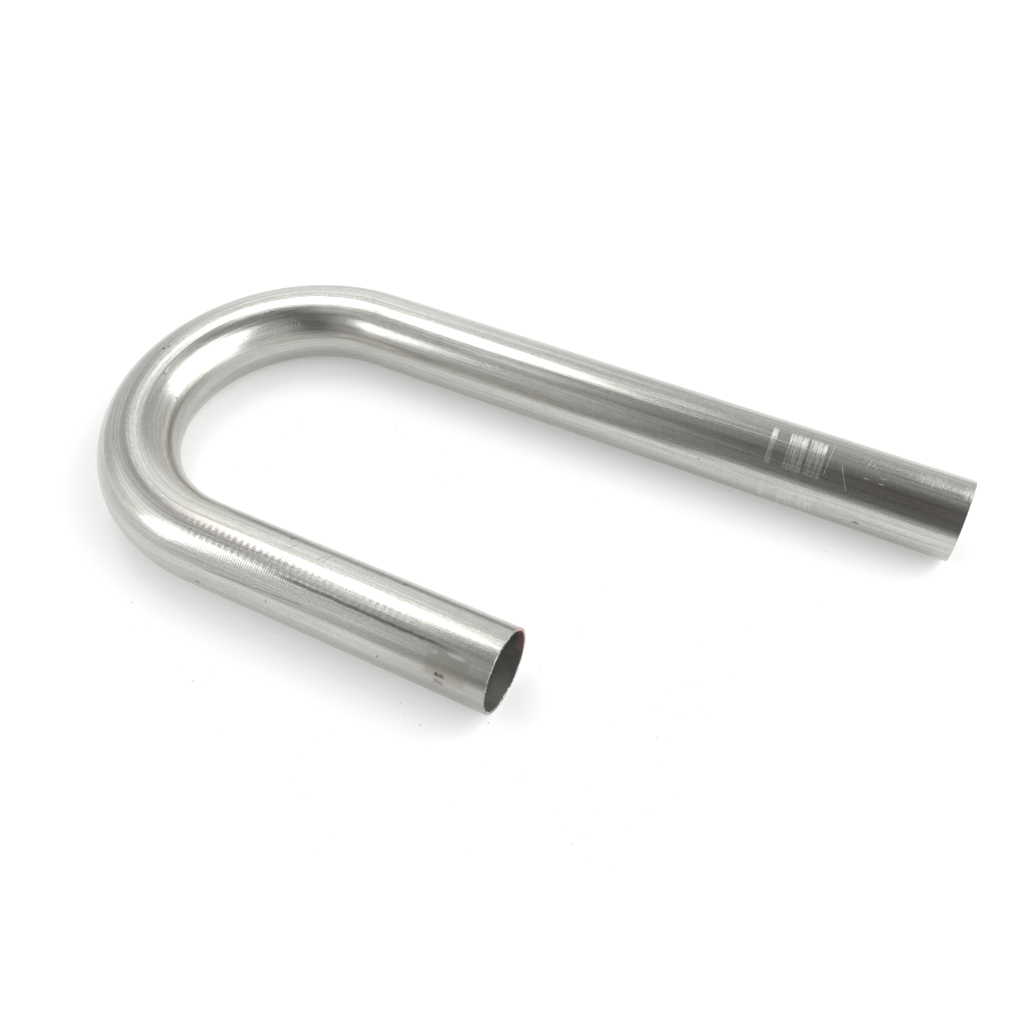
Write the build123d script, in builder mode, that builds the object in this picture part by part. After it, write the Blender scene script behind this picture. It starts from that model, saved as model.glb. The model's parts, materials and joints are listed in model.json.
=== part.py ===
from build123d import *
from math import cos, radians, sin
import os

# Driving dimensions, in millimetres and degrees

tube_outer_diameter = 38.1
tube_wall = 1.24

# The tube is drawn round a former, with a mandrel inside to keep it round.
bend_centreline_radius = 78.5
bend_angle = 180.0

# The metal on the outside of the bend is stretched thinner, and the inside is packed thicker.
stretched_wall = 1.0
wall_change_angle = 12.0

short_leg_length = 152.4
long_leg_length = 300.0

# The sawn ends have their sharp corners just taken off.
edge_break = 0.15

# Derived sizes

tube_outer_radius = tube_outer_diameter / 2
bore_radius = tube_outer_radius - tube_wall

# Round the bend the bore sits this far outside the tube's own centreline.
bore_shift = tube_wall - stretched_wall

# Each end of the bore's bend is an arc a little tighter than the tube's, which starts late and so
# drifts outwards by the shift while it turns through the wall change angle.
entry_arc_reduction = bore_shift * cos(radians(wall_change_angle)) / (1 - cos(radians(wall_change_angle)))
entry_arc_radius = bend_centreline_radius - entry_arc_reduction
late_start = (entry_arc_reduction + bore_shift) * sin(radians(wall_change_angle))
steady_angle = bend_angle - 2 * wall_change_angle

# The tube lies flat, both legs pointing along +X and the bend towards -X. The origin is under the
# middle of the length and width that it covers.
bend_centre_x = (bend_centreline_radius + tube_outer_radius - long_leg_length) / 2
bend_centre = Plane(origin=(bend_centre_x, 0, tube_outer_radius))

# The tube's centreline runs in from the long leg's mouth, round the bend and out along the short leg.
with BuildLine(bend_centre) as tube_line:
    long_run = Line((long_leg_length, bend_centreline_radius), (0, bend_centreline_radius))
    bend_run = JernArc(long_run @ 1, long_run % 1, bend_centreline_radius, bend_angle)
    short_run = PolarLine(bend_run @ 1, short_leg_length, direction=bend_run % 1)

# The bore's centreline is the same in the legs and runs wide of it round the bend.
with BuildLine(bend_centre) as bore_line:
    long_bore = Line((long_leg_length, bend_centreline_radius), (-late_start, bend_centreline_radius))
    first_drift = JernArc(long_bore @ 1, long_bore % 1, entry_arc_radius, wall_change_angle)
    steady_bore = JernArc(first_drift @ 1, first_drift % 1, bend_centreline_radius + bore_shift, steady_angle)
    last_drift = JernArc(steady_bore @ 1, steady_bore % 1, entry_arc_radius, wall_change_angle)
    short_bore = PolarLine(last_drift @ 1, short_leg_length + late_start, direction=last_drift % 1)

# The bent tube, one piece from mouth to mouth

with BuildPart() as bent_tube:
    with BuildSketch(Plane(origin=tube_line.line @ 0, z_dir=tube_line.line % 0)):
        Circle(tube_outer_radius)
    sweep(path=tube_line.line)
    with BuildSketch(Plane(origin=bore_line.line @ 0, z_dir=bore_line.line % 0)):
        Circle(bore_radius)
    sweep(path=bore_line.line, mode=Mode.SUBTRACT)
    sawn_ends = bent_tube.faces().filter_by(GeomType.PLANE)
    chamfer(sawn_ends.edges(), edge_break)

bent_tube.part.label = "bent_tube"

os.makedirs("parts", exist_ok=True)
export_step(bent_tube.part, "parts/bent_tube.step")
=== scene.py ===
import bpy
import json
import math
from mathutils import Matrix, Quaternion, Vector

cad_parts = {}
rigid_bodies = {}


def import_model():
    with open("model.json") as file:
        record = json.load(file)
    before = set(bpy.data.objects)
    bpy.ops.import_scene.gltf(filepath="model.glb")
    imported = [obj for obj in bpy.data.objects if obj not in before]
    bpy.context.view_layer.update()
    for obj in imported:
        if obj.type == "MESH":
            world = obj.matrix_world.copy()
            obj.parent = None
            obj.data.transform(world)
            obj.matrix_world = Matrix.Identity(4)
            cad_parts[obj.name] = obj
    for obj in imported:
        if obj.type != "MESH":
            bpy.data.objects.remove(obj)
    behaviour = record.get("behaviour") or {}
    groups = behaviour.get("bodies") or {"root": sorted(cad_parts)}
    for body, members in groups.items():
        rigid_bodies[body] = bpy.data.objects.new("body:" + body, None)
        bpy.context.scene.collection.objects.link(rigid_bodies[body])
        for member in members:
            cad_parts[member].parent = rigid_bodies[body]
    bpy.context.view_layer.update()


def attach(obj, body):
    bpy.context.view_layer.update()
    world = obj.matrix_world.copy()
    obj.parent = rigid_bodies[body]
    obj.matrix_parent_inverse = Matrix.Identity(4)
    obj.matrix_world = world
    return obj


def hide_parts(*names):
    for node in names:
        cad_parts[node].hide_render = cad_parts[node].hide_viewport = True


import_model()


# The bent tube
# A length of round drawn steel tube, 38 mm across with a thin wall, drawn cold round a former into a J.
# It is one piece: a long leg, a half circle and a short leg, sawn off square at both mouths.
tube_radius = 0.01905
tube_wall = 0.00124
bend_radius = 0.0785
long_leg = 0.3
short_leg = 0.1524
bend_centre = Vector((-0.101225, 0, tube_radius))
round_steps = 160


def start_ring(name, radius):
    bpy.ops.object.select_all(action="DESELECT")
    mouth = bend_centre + Vector((long_leg, bend_radius, 0))
    bpy.ops.mesh.primitive_circle_add(
        vertices=round_steps, radius=radius, location=mouth, rotation=(0, math.pi / 2, 0))
    ring = bpy.context.object
    ring.name = name
    bpy.ops.object.transform_apply(location=True, rotation=True, scale=True)
    bpy.ops.object.mode_set(mode="EDIT")
    bpy.ops.mesh.select_all(action="SELECT")
    return ring


def draw_straight(length):
    bpy.ops.mesh.extrude_region_move(TRANSFORM_OT_translate={"value": (length, 0, 0)})


def draw_round(centre, angle, steps):
    bpy.ops.mesh.spin(steps=steps, angle=-angle, center=centre, axis=(0, 0, 1))


tube = start_ring("bent_steel_tube", tube_radius)
draw_straight(-long_leg)
draw_round(bend_centre, math.pi, 180)
draw_straight(short_leg)
bpy.ops.mesh.select_all(action="SELECT")
bpy.ops.mesh.remove_doubles(threshold=0.00001)
bpy.ops.mesh.normals_make_consistent(inside=False)
bpy.ops.object.mode_set(mode="OBJECT")

# The bore
# The mandrel keeps the inside round, but the outer wall of the bend stretches thinner and the inner wall
# packs thicker, so the bore starts its bend late, drifts outwards for a few degrees and then runs wide.
wall_change = math.radians(12)
bore_shift = 0.00024
drift_reduction = bore_shift * math.cos(wall_change) / (1 - math.cos(wall_change))
drift_radius = bend_radius - drift_reduction
late_start = (drift_reduction + bore_shift) * math.sin(wall_change)

bore = start_ring("bore", tube_radius - tube_wall)
draw_straight(-long_leg - late_start)
draw_round(bend_centre + Vector((-late_start, bend_radius - drift_radius, 0)), wall_change, 12)
draw_round(bend_centre, math.pi - 2 * wall_change, 156)
draw_round(bend_centre + Vector((-late_start, drift_radius - bend_radius, 0)), wall_change, 12)
draw_straight(short_leg + late_start)
bpy.ops.mesh.select_all(action="SELECT")
bpy.ops.mesh.remove_doubles(threshold=0.00001)
bpy.ops.mesh.normals_make_consistent(inside=False)
bpy.ops.mesh.flip_normals()
bpy.ops.object.mode_set(mode="OBJECT")

# The sawn mouths
# Both ends are cut square with a saw, and the sharp corners are only just broken with a file.
edge_break = 0.00015
long_mouth_x = bend_centre.x + long_leg
short_mouth_x = bend_centre.x + short_leg


def select_edges(piece, rule):
    bpy.ops.object.mode_set(mode="EDIT")
    bpy.ops.mesh.select_mode(type="EDGE")
    bpy.ops.mesh.select_all(action="DESELECT")
    bpy.ops.object.mode_set(mode="OBJECT")
    points = piece.data.vertices
    for edge in piece.data.edges:
        ends = [points[number].co for number in edge.vertices]
        edge.select = all(rule(end) for end in ends)
    bpy.ops.object.mode_set(mode="EDIT")


def at_long_mouth(point):
    return abs(point.x - long_mouth_x) < 0.00001


def at_short_mouth(point):
    return abs(point.x - short_mouth_x) < 0.00001 and point.y < 0


bpy.ops.object.select_all(action="DESELECT")
bore.select_set(True)
tube.select_set(True)
bpy.context.view_layer.objects.active = tube
bpy.ops.object.join()
for mouth in (at_long_mouth, at_short_mouth):
    select_edges(tube, mouth)
    bpy.ops.mesh.bridge_edge_loops()
    bpy.ops.object.mode_set(mode="OBJECT")


def rim_corners(piece):
    select_edges(piece, lambda point: at_long_mouth(point) or at_short_mouth(point))
    bpy.ops.object.mode_set(mode="OBJECT")
    points = piece.data.vertices
    for edge in piece.data.edges:
        if edge.select:
            near, far = [points[number].co for number in edge.vertices]
            reaches = [math.hypot(end.z - tube_radius, abs(end.y) - bend_radius) for end in (near, far)]
            edge.select = abs(reaches[0] - reaches[1]) < 0.0001
    bpy.ops.object.mode_set(mode="EDIT")


rim_corners(tube)
bpy.ops.mesh.bevel(offset=edge_break, segments=2, profile=0.5)
bpy.ops.object.mode_set(mode="OBJECT")

# The saw burr
# The blade left a thin ragged feather of steel along the edges of the short mouth, which nobody has filed off.
burr_rings = ((tube_radius - tube_wall, 0.00016, 0.0003, 5), (tube_radius - 0.00012, 0.0001, 0.0001, 9))
for ring_radius, feather, raggedness, seed in burr_rings:
    bpy.ops.object.select_all(action="DESELECT")
    bpy.ops.mesh.primitive_torus_add(
        major_radius=ring_radius, minor_radius=feather, major_segments=260, minor_segments=6,
        location=(short_mouth_x - feather * 0.4, -bend_radius, tube_radius), rotation=(0, math.pi / 2, 0))
    burr = bpy.context.object
    bpy.ops.object.transform_apply(location=True, rotation=True, scale=True)
    bpy.ops.object.mode_set(mode="EDIT")
    bpy.ops.mesh.select_all(action="DESELECT")
    bpy.ops.mesh.select_random(ratio=0.3, seed=seed)
    bpy.ops.transform.vertex_random(offset=raggedness, uniform=0.6, normal=0.0, seed=seed)
    bpy.ops.mesh.select_all(action="SELECT")
    bpy.ops.mesh.normals_make_consistent(inside=False)
    bpy.ops.object.mode_set(mode="OBJECT")
    tube.select_set(True)
    bpy.context.view_layer.objects.active = tube
    bpy.ops.object.join()

bpy.ops.object.shade_smooth_by_angle(angle=math.radians(20))
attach(tube, "root")
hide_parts("bent_tube")

# The long leg's skin
# Bare stainless steel as it leaves the draw bench, satin and a little warm in tone, with fine draw lines
# along it. The jaws of the bending machine have scuffed it across in bars, and its end is scratched.
# The bars carry a painted sheen and the scratches painted glints: both are made lighter in colour.


class Reading:
    """A number read at each point of a finish. Sums and products on it add the Math nodes."""

    def __init__(self, finish, socket):
        self.finish = finish
        self.socket = socket

    def work(self, operation, *values):
        return self.finish.node("ShaderNodeMath", {"operation": operation}, dict(enumerate(values)))

    def out(self, name):
        return Reading(self.finish, self.socket.node.outputs[name])

    def __add__(self, other):
        return self.work("ADD", self, other)

    __radd__ = __add__

    def __mul__(self, other):
        return self.work("MULTIPLY", self, other)

    __rmul__ = __mul__

    def __sub__(self, other):
        return self.work("SUBTRACT", self, other)

    def __rsub__(self, other):
        return self.work("SUBTRACT", other, self)

    def __truediv__(self, other):
        return self.work("DIVIDE", self, other)

    def __pow__(self, other):
        return self.work("POWER", self, other)

    def __neg__(self):
        return self.work("MULTIPLY", self, -1)

    def __abs__(self):
        return self.work("ABSOLUTE", self)


class Network:
    """A tree of shader nodes, with one method that adds a node to it."""

    def __init__(self, tree):
        self.tree = tree

    def feed(self, socket, value):
        if isinstance(value, Reading):
            self.tree.links.new(value.socket, socket)
        else:
            socket.default_value = value

    def node(self, kind, settings, inputs, output=0):
        added = self.tree.nodes.new(kind)
        for name, value in settings.items():
            setattr(added, name, value)
        for name, value in inputs.items():
            self.feed(added.inputs[name], value)
        return Reading(self, added.outputs[output])

    def rise(self, value, low, high):
        return self.node("ShaderNodeMapRange", {"interpolation_type": "SMOOTHSTEP"}, {0: value, 1: low, 2: high})

    def between(self, value, low, high, soft):
        return self.rise(value, low - soft, low + soft) * self.rise(value, high + soft, high - soft)

    def blend(self, amount, first, second):
        return self.node("ShaderNodeMix", {"data_type": "RGBA"}, {0: amount, 6: first, 7: second}, 2)

    def noise(self, where, scale, detail):
        return self.node("ShaderNodeTexNoise", {}, {
            "Vector": where, "Scale": scale, "Detail": detail, "Roughness": 0.6})


class Finish(Network):
    """A material for the tube. It knows the places on the tube, in millimetres and degrees: how far along it
    a point is from the long mouth and how far round it is from the top towards the inside of the J."""

    def __init__(self, name):
        self.material = bpy.data.materials.new(name)
        self.material.use_nodes = True
        super().__init__(self.material.node_tree)
        self.shader = self.tree.nodes["Principled BSDF"]
        spot = self.node("ShaderNodeTexCoord", {}, {}, "Object")
        spot = self.node("ShaderNodeVectorMath", {"operation": "SCALE"}, {0: spot, 3: 1000})
        spot = self.node("ShaderNodeSeparateXYZ", {}, {0: spot})
        across = spot.out("Y")
        ahead = spot.out("X") - bend_centre.x * 1000
        behind = ahead.work("MINIMUM", ahead, 0)
        outward = (behind * behind + across * across) ** 0.5 - bend_radius * 1000
        upward = spot.out("Z") - tube_radius * 1000
        swept = behind.work("ARCTAN2", abs(behind), across)
        on_leg = across.work("SIGN", across) * ahead.work("MAXIMUM", ahead, 0)
        self.along = long_leg * 1000 + swept * (bend_radius * 1000) - on_leg
        self.turn = outward.work("ARCTAN2", -outward, upward) * (180 / math.pi)
        self.evenly = self.node("ShaderNodeCombineXYZ", {}, {0: outward, 1: upward, 2: self.along})
        self.lengthwise = self.node("ShaderNodeCombineXYZ", {}, {0: outward, 1: upward, 2: self.along * 0.01})

    def stain(self, amount, colour):
        self.tone = self.blend(amount, self.tone, colour)

    def wear(self, dullness, height):
        self.feed(self.shader.inputs["Base Color"], self.tone)
        self.feed(self.shader.inputs["Metallic"], 1.0)
        self.feed(self.shader.inputs["Roughness"], dullness)
        self.feed(self.shader.inputs["Normal"], self.node(
            "ShaderNodeBump", {}, {"Strength": 1.0, "Distance": 1.0, "Height": height}))


def drawn_skin(name):
    """Bare drawn steel: its tone, its dullness and the height of its draw lines, ready for the marks."""
    finish = Finish(name)
    finish.streaks = finish.noise(finish.lengthwise, 0.55, 3)
    finish.lines = finish.noise(finish.lengthwise, 2.4, 3)
    finish.hairs = finish.noise(finish.lengthwise, 4.2, 2)
    finish.clouds = finish.noise(finish.evenly, 0.11, 4)
    finish.grit = finish.noise(finish.evenly, 2.4, 1)
    mottle = finish.streaks * 0.38 + finish.lines * 0.37 + finish.grit * 0.25
    finish.tone = finish.blend(finish.rise(mottle, 0.3, 0.7), (0.33, 0.326, 0.305, 1), (0.63, 0.622, 0.586, 1))
    finish.stain(finish.rise(finish.clouds, 0.45, 0.75) * 0.25, (0.38, 0.372, 0.342, 1))
    finish.stain(finish.rise(finish.grit, 0.5, 0.25) * 0.16, (0.20, 0.196, 0.18, 1))
    finish.stain(finish.rise(finish.grit, 0.52, 0.75) * 0.16, (0.86, 0.85, 0.82, 1))
    finish.dullness = 0.11 + finish.lines * 0.08 + finish.grit * 0.08 + finish.clouds * 0.06
    finish.height = (finish.streaks * 0.00003 + finish.lines * 0.000024 + finish.hairs * 0.000012
                     + finish.grit * 0.000008)
    return finish


def scratch(finish, first_along, first_turn, last_along, last_turn, width):
    """A straight scratch between two places, as a mask."""
    arc = math.radians(1) * tube_radius * 1000
    run, side = last_along - first_along, (last_turn - first_turn) * arc
    size = math.hypot(run, side)
    run, side = run / size, side / size
    lengthwise = finish.along * run + finish.turn * (side * arc) - (first_along * run + first_turn * side * arc)
    sideways = finish.along * -side + finish.turn * (run * arc) + (first_along * side - first_turn * run * arc)
    return finish.between(lengthwise, 0, size, 0.3) * finish.rise(abs(sideways), width * 0.75, width * 0.25)


def spot_mark(finish, along, turn, half_length, half_turn):
    """A round or oval mark, as a mask that fades at its edge."""
    run = (finish.along - along) / half_length
    side = (finish.turn - turn) / half_turn
    return finish.rise(run * run + side * side, 1.0, 0.3)


def all_of(make, finish, places):
    marks = make(finish, *places[0])
    for place in places[1:]:
        marks = marks + make(finish, *place)
    return marks


long_skin = drawn_skin("long_leg_steel")

# Bars scuffed across the leg by the jaws, strongest on top and faint on the side towards the short leg.
# Their lighter colour is partly a painted sheen.
slanted = long_skin.along + long_skin.turn * 0.022
jaws = (long_skin.between(slanted, 64.1, 71.4, 0.2) + long_skin.between(slanted, 72.9, 80.9, 0.2)
        + long_skin.between(slanted, 86.9, 89.4, 0.2))
gaps = 0
for place in (66.0, 68.35, 75.6, 78.2, 70.6, 79.8):
    gaps = long_skin.between(slanted, place - 0.2, place + 0.2, 0.15) + gaps
sides = (long_skin.between(long_skin.turn, -2, 14, 5) + long_skin.between(long_skin.turn, 16, 50, 3) * 0.34
         + long_skin.between(long_skin.turn, 82, 112, 9) * 0.25)
crosswise = long_skin.noise(long_skin.node("ShaderNodeVectorMath", {"operation": "MULTIPLY"}, {
    0: long_skin.evenly, 1: (0.06, 0.06, 1.0)}), 2.6, 3)
worn_through = 0.25 + long_skin.rise(crosswise, 0.34, 0.6) * 0.75
worn_through = worn_through * (0.75 + long_skin.rise(long_skin.lines, 0.3, 0.6) * 0.25)
scuffs_and_sheen = jaws * sides * (1 - gaps * 0.85) * worn_through
rub = long_skin.between(long_skin.along, 12, 24, 2.5) * long_skin.between(long_skin.turn, -9, 11, 4)
end_rub = long_skin.between(long_skin.along, -1, 4, 0.8) * long_skin.between(long_skin.turn, -9, 14, 3)
scuffs_and_sheen = scuffs_and_sheen + (rub * 0.32 + end_rub * 0.4) * long_skin.rise(crosswise, 0.4, 0.7)

# Real scratches on the long leg; below, they are also made lighter in colour as painted glints
scratches = all_of(scratch, long_skin, (
    (55.6, 21, 53.4, 36, 0.25), (53.2, 37, 50.2, 54, 0.22), (61.4, -6, 61.6, 42, 0.22), (64, 14.5, 128, 17, 0.22), (44.6, 0, 45.2, 12, 0.22), (42.4, 5, 43.2, 10, 0.25), (41.2, 9, 41.8, 12, 0.25),
    (36.0, 22, 38.5, 22.6, 0.25), (36.2, 30, 38.2, 30.4, 0.3), (43.0, 29, 45.0, 29.6, 0.3),
    (121.0, 20, 180.0, 22, 0.25), (232.0, 42, 229.0, 47, 0.6), (226.0, 42, 224.5, 46, 0.6)))
spots = all_of(spot_mark, long_skin, (
    (41.8, 97, 1.8, 3), (117.0, 78, 0.6, 1.6)))
brown = (long_skin.between(long_skin.along, 4, 52, 12) * long_skin.between(long_skin.turn, 30, 47, 5)
         * long_skin.rise(long_skin.lines, 0.4, 0.7))

long_skin.stain(brown * 0.7, (0.36, 0.26, 0.19, 1))
long_skin.stain(spots * (0.4 + long_skin.rise(long_skin.grit, 0.35, 0.6) * 0.5), (0.10, 0.095, 0.085, 1))
# Painted sheen on the scuffed bars and painted glints on the scratches: both are made lighter in colour
long_skin.stain(scuffs_and_sheen * 0.7 + scratches * 0.22, (0.90, 0.89, 0.90, 1))
long_skin.wear(long_skin.dullness + scuffs_and_sheen * 0.42 + scratches * 0.25,
               long_skin.height + scuffs_and_sheen * crosswise * 0.00003)

# The bend's skin
# The same steel where it was drawn round the former: the draw lines are drawn out deeper on the inside of
# the curve, and the former's edge has nicked it in a few places. The nicks are made lighter, as painted glints.
bend_skin = drawn_skin("bend_steel")
scratches = all_of(scratch, bend_skin, (
    (430.0, 7, 431.6, 17, 0.5), (431.0, 22, 435.5, 25, 0.5), (346.0, 51, 346.8, 57, 0.3), (351.0, 52, 351.5, 58, 0.3),
    (361.5, 52, 362.0, 60, 0.3), (348.6, 52, 349.0, 56, 0.25), (353.2, 53, 353.8, 57, 0.3),
    (355.0, 52, 355.4, 56, 0.25), (364.4, 54, 365.0, 59, 0.25), (367.6, 55, 368.0, 60, 0.3)))
spots = all_of(spot_mark, bend_skin, (
    (421.6, -6, 0.9, 3), (419.3, -3, 0.7, 2), (383.0, 56, 0.5, 1.6), (446.0, 57, 0.8, 2), (361.0, 27, 0.9, 1.8), (433.0, 57, 0.5, 2), (436.0, 24, 0.8, 2)))
dragged = bend_skin.between(bend_skin.along, 300, 520, 20) * bend_skin.between(bend_skin.turn, 14, 100, 12)
slip_start = bend_skin.rise(bend_skin.along, 542, 550)
fine_slip = bend_skin.along * (2 * math.pi / 1.17) + bend_skin.clouds * 12
fine_slip = fine_slip.work("SINE", fine_slip) * slip_start * bend_skin.between(bend_skin.turn, -52, 34, 6)
coarse_slip = bend_skin.along * (2 * math.pi / 3.35) + bend_skin.clouds * 4
coarse_slip = coarse_slip.work("SINE", coarse_slip) * slip_start * bend_skin.between(bend_skin.turn, -27, -5, 4)
# Painted reflection: a pinkish tint along the lower edge of the highlight where the bend runs into the short leg
painted_pink_reflection = bend_skin.rise(bend_skin.along, 526, 546) * bend_skin.between(bend_skin.turn, -9, 1, 3)
bend_skin.stain(painted_pink_reflection * 0.2, (0.72, 0.60, 0.57, 1))
bend_skin.stain(spots * (0.5 + bend_skin.rise(bend_skin.grit, 0.35, 0.6) * 0.45), (0.10, 0.095, 0.085, 1))
# Painted glints: the nicks and scratches are made lighter in colour
bend_skin.stain(scratches * 0.3, (0.74, 0.74, 0.72, 1))
bend_skin.wear(bend_skin.dullness + scratches * 0.25,
               bend_skin.height * (1 + dragged * 0.9) + fine_slip * 0.0000055 + coarse_slip * 0.000017)

# The short leg's skin
# The same steel again. As the leg slipped off the former in short jerks it took a chatter of ripples across
# it. Near the mouth a rubbed patch and a small dark smudge are left, and a few scratches lie across.
short_skin = drawn_skin("short_leg_steel")
slip_start = short_skin.rise(short_skin.along, 542, 550)
slip_band = slip_start * short_skin.between(short_skin.turn, -27, -5, 4) * (
    short_skin.rise(short_skin.along, 668, 640))
coarse_slip = short_skin.along * (2 * math.pi / 3.35) + short_skin.clouds * 4
coarse_slip = coarse_slip.work("SINE", coarse_slip) * slip_band
fine_slip = short_skin.along * (2 * math.pi / 1.17) + short_skin.clouds * 12
fine_slip = fine_slip.work("SINE", fine_slip) * slip_start * (
    short_skin.between(short_skin.turn, -52, 34, 6) * short_skin.rise(short_skin.along, 638, 600))
scratches = all_of(scratch, short_skin, (
    (595.0, 8, 596.4, 22, 0.35), (609.4, 10, 611.4, 26, 0.35), (612.2, 12, 613.6, 36, 0.4),
    (554.2, -24, 554.5, -6, 0.45), (562.0, -62, 612.0, -52, 0.45), (662.0, -21, 663.4, -28, 0.5)))
spots = all_of(spot_mark, short_skin, (
    (595.4, -68, 0.35, 3), (650.4, -78, 0.5, 3), (558.0, -90, 1.6, 3), (592.0, 31, 0.6, 4), (648.0, 33, 0.9, 3)))
rubbed = short_skin.between(short_skin.along, 672, 690, 1) * short_skin.between(short_skin.turn, -69, -33, 4)
smudge = short_skin.between(short_skin.along, 676.8, 681.2, 0.5) * (
    short_skin.between(short_skin.turn, -67.5, -62, 1) + short_skin.between(short_skin.turn, -78, -72, 2) * 0.6)
smudge = smudge * short_skin.rise(short_skin.noise(short_skin.evenly, 1.4, 2), 0.36, 0.56)
# Painted reflection: the same pinkish tint, fading out along the short leg
painted_pink_reflection = short_skin.rise(short_skin.along, 600, 580) * short_skin.between(short_skin.turn, -9, 1, 3)
short_skin.stain(painted_pink_reflection * 0.2, (0.72, 0.60, 0.57, 1))
# Grime and painted shade: the lower front of the short leg near its mouth is darkened, where it reflects the shaded
# floor in front
grime_and_painted_shade = short_skin.rise(short_skin.along, 630, 690) * short_skin.between(short_skin.turn, -112, -34, 10)
seam = short_skin.between(short_skin.along, 596, 680, 10) * short_skin.between(
    short_skin.turn + short_skin.clouds * 4, -29, -25, 1.2)
short_skin.stain(grime_and_painted_shade * 0.5, (0.27, 0.262, 0.235, 1))
short_skin.stain(seam * short_skin.rise(short_skin.grit, 0.26, 0.5) * 0.95, (0.13, 0.126, 0.112, 1))
short_skin.stain(rubbed * (0.2 + short_skin.rise(short_skin.grit, 0.4, 0.6) * 0.3), (0.25, 0.24, 0.20, 1))
# Painted highlight: light blotches at the lower edge of the highlight near the short mouth
painted_highlight_blotches = all_of(spot_mark, short_skin, ((674.0, -38, 2.2, 4), (684.0, -34, 5.0, 3), (664.0, -33, 3.0, 2)))
short_skin.stain(painted_highlight_blotches * short_skin.rise(short_skin.clouds, 0.35, 0.6) * 0.4, (0.85, 0.84, 0.80, 1))
short_skin.stain(smudge * 0.9, (0.07, 0.06, 0.045, 1))
short_skin.stain(spots * (0.4 + short_skin.rise(short_skin.grit, 0.35, 0.6) * 0.5) + scratches * 0.5, (0.12, 0.115, 0.10, 1))
short_skin.wear(short_skin.dullness + scratches * 0.2 + rubbed * 0.08 + smudge * 0.3,
                short_skin.height + coarse_slip * 0.000017 + fine_slip * 0.0000055)

# The bore
# The inside was never polished: it keeps a dull grey-green scale from the mill, with rusty specks. Somebody
# has run a red marker round part of the short mouth.
inside = Finish("bore_scale")
inside_lines = inside.noise(inside.lengthwise, 1.0, 3)
inside_cloud = inside.noise(inside.evenly, 0.35, 4)
inside_grit = inside.noise(inside.evenly, 2.2, 3)
marker = inside.rise(inside.along + inside_cloud * 6.0, 698.4, 700.4) * inside.between(inside.turn, 24, 112, 10)
marker = marker * inside.rise(inside_grit, 0.36, 0.6)
inside.tone = inside.blend(
    inside_lines * 0.5 + inside_cloud * 0.5, (0.22, 0.218, 0.20, 1), (0.46, 0.456, 0.425, 1))
# Painted shade: the bore is darkened over its upper side towards the inside of the J
inside.stain(inside.between(inside.turn, 20, 108, 25) * 0.55, (0.10, 0.10, 0.092, 1))
inside.stain(inside.rise(inside_grit, 0.62, 0.72) * 0.5, (0.20, 0.12, 0.07, 1))
inside.stain(marker * 0.85, (0.40, 0.15, 0.16, 1))
inside.wear(0.42 + inside_cloud * 0.2, inside_lines * 0.00003 + inside_grit * 0.000008)
inside.feed(inside.shader.inputs["Metallic"], 1 - marker * 0.9)

# The sawn edges
# Bright steel cut across with a saw: fine tooth marks run straight over the rim, and a trace of the red
# marker is left on the upper part of the short one.
sawn = Finish("sawn_edge")
teeth = sawn.noise(sawn.node("ShaderNodeVectorMath", {"operation": "MULTIPLY"}, {
    0: sawn.evenly, 1: (0.1, 1.0, 0.1)}), 2.4, 3)
edge_marker = sawn.rise(sawn.along, 690, 695) * sawn.between(sawn.turn, 34, 128, 8)
sawn.tone = sawn.blend(sawn.rise(teeth, 0.35, 0.65), (0.16, 0.158, 0.15, 1), (0.62, 0.612, 0.58, 1))
sawn.stain(edge_marker * 0.6 * sawn.rise(teeth, 0.3, 0.6), (0.55, 0.22, 0.22, 1))
sawn.wear(0.25 + teeth * 0.25, teeth * 0.00006)
sawn.feed(sawn.shader.inputs["Metallic"], 1 - edge_marker * 0.5)

tube.data.materials.clear()
for finish in (long_skin, bend_skin, short_skin, inside, sawn):
    tube.data.materials.append(finish.material)
for face in tube.data.polygons:
    middle = face.center
    outward = math.hypot(min(middle.x - bend_centre.x, 0), middle.y) - bend_radius
    reach = math.hypot(outward, middle.z - tube_radius)
    at_end = middle.x > long_mouth_x - edge_break * 1.1 or (
        middle.x > short_mouth_x - edge_break * 1.1 and middle.y < 0 and middle.x < short_mouth_x + 0.001)
    if at_end and abs(face.normal.x) > 0.2:
        face.material_index = 4
    elif reach < tube_radius - tube_wall / 2:
        face.material_index = 3
    elif middle.x < bend_centre.x:
        face.material_index = 1
    elif middle.y < 0:
        face.material_index = 2

# The floor
# A plain white sheet, wide enough to fill the view from any side, with a little dust and grit near the tube.
bpy.ops.object.select_all(action="DESELECT")
bpy.ops.mesh.primitive_plane_add(size=8)
floor = bpy.context.object
floor.name = "floor"
white = bpy.data.materials.new("white_sheet")
white.use_nodes = True
sheet = Network(white.node_tree)
sheet_shader = white.node_tree.nodes["Principled BSDF"]
place = sheet.node("ShaderNodeTexCoord", {}, {}, "Object")
near = sheet.rise(sheet.node("ShaderNodeVectorMath", {"operation": "LENGTH"}, {0: place}, 1), 0.22, 0.13)
dust = sheet.rise(sheet.noise(place, 560, 1), 0.722, 0.765) * sheet.rise(sheet.noise(place, 22, 2), 0.46, 0.60)
clean = 1 - near * dust * 0.55
sheet.feed(sheet_shader.inputs["Base Color"], sheet.blend(clean, (0.10, 0.09, 0.08, 1), (0.75, 0.75, 0.75, 1)))
sheet.feed(sheet_shader.inputs["Emission Color"], sheet.blend(clean, (0, 0, 0, 1), (1, 1, 1, 1)))
sheet_shader.inputs["Emission Strength"].default_value = 0.26
sheet_shader.inputs["Roughness"].default_value = 0.9
sheet_shader.inputs["Specular IOR Level"].default_value = 0.2
floor.data.materials.append(white)

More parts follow.
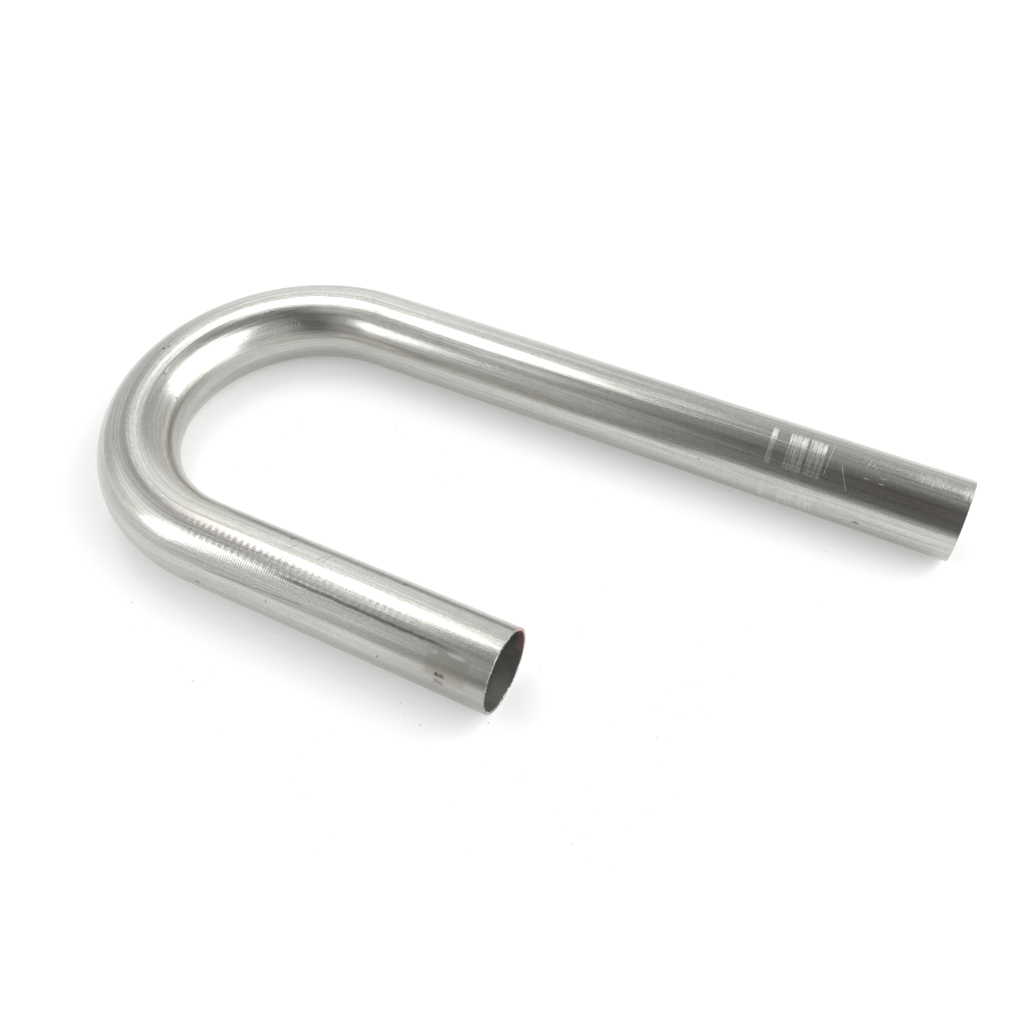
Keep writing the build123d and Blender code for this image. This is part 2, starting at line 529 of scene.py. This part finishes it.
# The light
# A large soft box hangs over the left side, a small one stands close by on the left and a third on the right.
# The white room behind them is even, except for a dark gap in front of the tube.


def soft_box(name, place, aim, width, depth, strength, roll=0):
    lamp = bpy.data.lights.new(name, "AREA")
    lamp.shape = "RECTANGLE"
    lamp.size = width
    lamp.size_y = depth
    lamp.energy = math.pi * width * depth * strength
    holder = bpy.data.objects.new(name, lamp)
    bpy.context.scene.collection.objects.link(holder)
    holder.location = Vector(place)
    holder.visible_camera = False
    facing = (Vector(aim) - Vector(place)).to_track_quat("-Z", "Y")
    holder.rotation_euler = (facing @ Quaternion((0, 0, 1), math.radians(roll))).to_euler()


soft_box("top_box", (-0.525, 0.335, 1.08), (-0.525, 0.335, 0), 0.43, 0.60, 3.2, 36)
soft_box("left_sheet", (-0.50, -0.15, 1.08), (-0.50, -0.15, 0), 0.26, 0.20, 0.6)
soft_box("near_left_box", (-0.39, -0.312, 0.305), (-0.1, -0.06, 0.02), 0.15, 0.235, 2.7)
soft_box("small_box", (-0.20, -0.13, 0.50), (0, -0.08, 0.02), 0.12, 0.10, 0.8)
soft_box("right_box", (0.97, 0.42, 0.75), (-0.1, 0, 0.1), 1.80, 1.5, 2.4)
soft_box("back_sheet", (-0.17, 0.48, 0.80), (-0.1, 0, 0), 0.30, 0.22, 0.7)
soft_box("front_sheet", (-0.19, -0.52, 0.42), (-0.19, 0, 0.42), 0.20, 0.66, 0.25)

room = bpy.data.worlds.new("pale_room")
bpy.context.scene.world = room
room.use_nodes = True
walls = Network(room.node_tree)
sight = walls.node("ShaderNodeSeparateXYZ", {}, {0: walls.node("ShaderNodeTexCoord", {}, {}, "Generated")})
front = -sight.out("Y")
azimuth = sight.out("X").work("ARCTAN2", sight.out("X"), front) * (180 / math.pi)
height = sight.out("Z").work("ARCSINE", sight.out("Z")) * (180 / math.pi)
back_left = walls.rise(azimuth, -172, -152) * walls.rise(azimuth, -120, -136)
back_left_high = (walls.rise(azimuth, -162, -150) * walls.rise(azimuth, -122, -134)
                  * walls.rise(height, 18, 30) * walls.rise(height, 56, 46))
front_left = walls.rise(azimuth, -95, -70) * walls.rise(azimuth, -18, -48)
left_shelf = (walls.rise(azimuth, -102, -88) * walls.rise(azimuth, -56, -72)
              * walls.rise(height, 18, 32) * walls.rise(height, 60, 50))
dark_gap = walls.rise(azimuth, -36, -12) * walls.rise(azimuth, 50, 12)
dark_gap = dark_gap * (0.36 + walls.rise(height, 3, 16) * 0.36 - walls.rise(height, 28, 60) * 0.12)
shelf = (walls.rise(azimuth, -34, -24) * walls.rise(azimuth, -2, -12)
         * walls.rise(height, 10, 22) * walls.rise(height, 60, 45))
glow = (0.85 + back_left * 0.42 + back_left_high * 0.58 + front_left * 0.26 + left_shelf * 0.65
        + shelf * 0.22 - dark_gap)
walls.feed(room.node_tree.nodes["Background"].inputs["Strength"], glow * (1 - walls.rise(height, 15, 75) * 0.6))
room.node_tree.nodes["Background"].inputs["Color"].default_value = (1, 1, 1, 1)

# The camera
# It stands in front and to the right of the tube, looks steeply down on it and is turned slightly on its axis.
camera_azimuth = math.radians(29.1087)
camera_height = math.radians(50.9774)
camera_roll = math.radians(-2.68868)
camera_distance = 0.476267
camera_target = Vector((0.01621, -0.0032557, tube_radius))
focal_pixels = 1047.343
picture_pixels = 1024

back = Vector((math.sin(camera_azimuth) * math.cos(camera_height),
               -math.cos(camera_azimuth) * math.cos(camera_height), math.sin(camera_height)))
right = (-back).cross(Vector((0, 0, 1))).normalized()
above = right.cross(-back)
right_turned = math.cos(camera_roll) * right + math.sin(camera_roll) * above
above_turned = -math.sin(camera_roll) * right + math.cos(camera_roll) * above
stand = camera_target + back * camera_distance
view = bpy.data.cameras.new("camera")
view.sensor_width = 36
view.lens = focal_pixels / picture_pixels * 36
view.clip_start = 0.01
view.clip_end = 50
camera = bpy.data.objects.new("camera", view)
bpy.context.scene.collection.objects.link(camera)
camera.matrix_world = Matrix((
    (right_turned.x, above_turned.x, back.x, stand.x),
    (right_turned.y, above_turned.y, back.y, stand.y),
    (right_turned.z, above_turned.z, back.z, stand.z),
    (0, 0, 0, 1)))
bpy.context.scene.camera = camera
bpy.context.scene.view_settings.view_transform = "Standard"
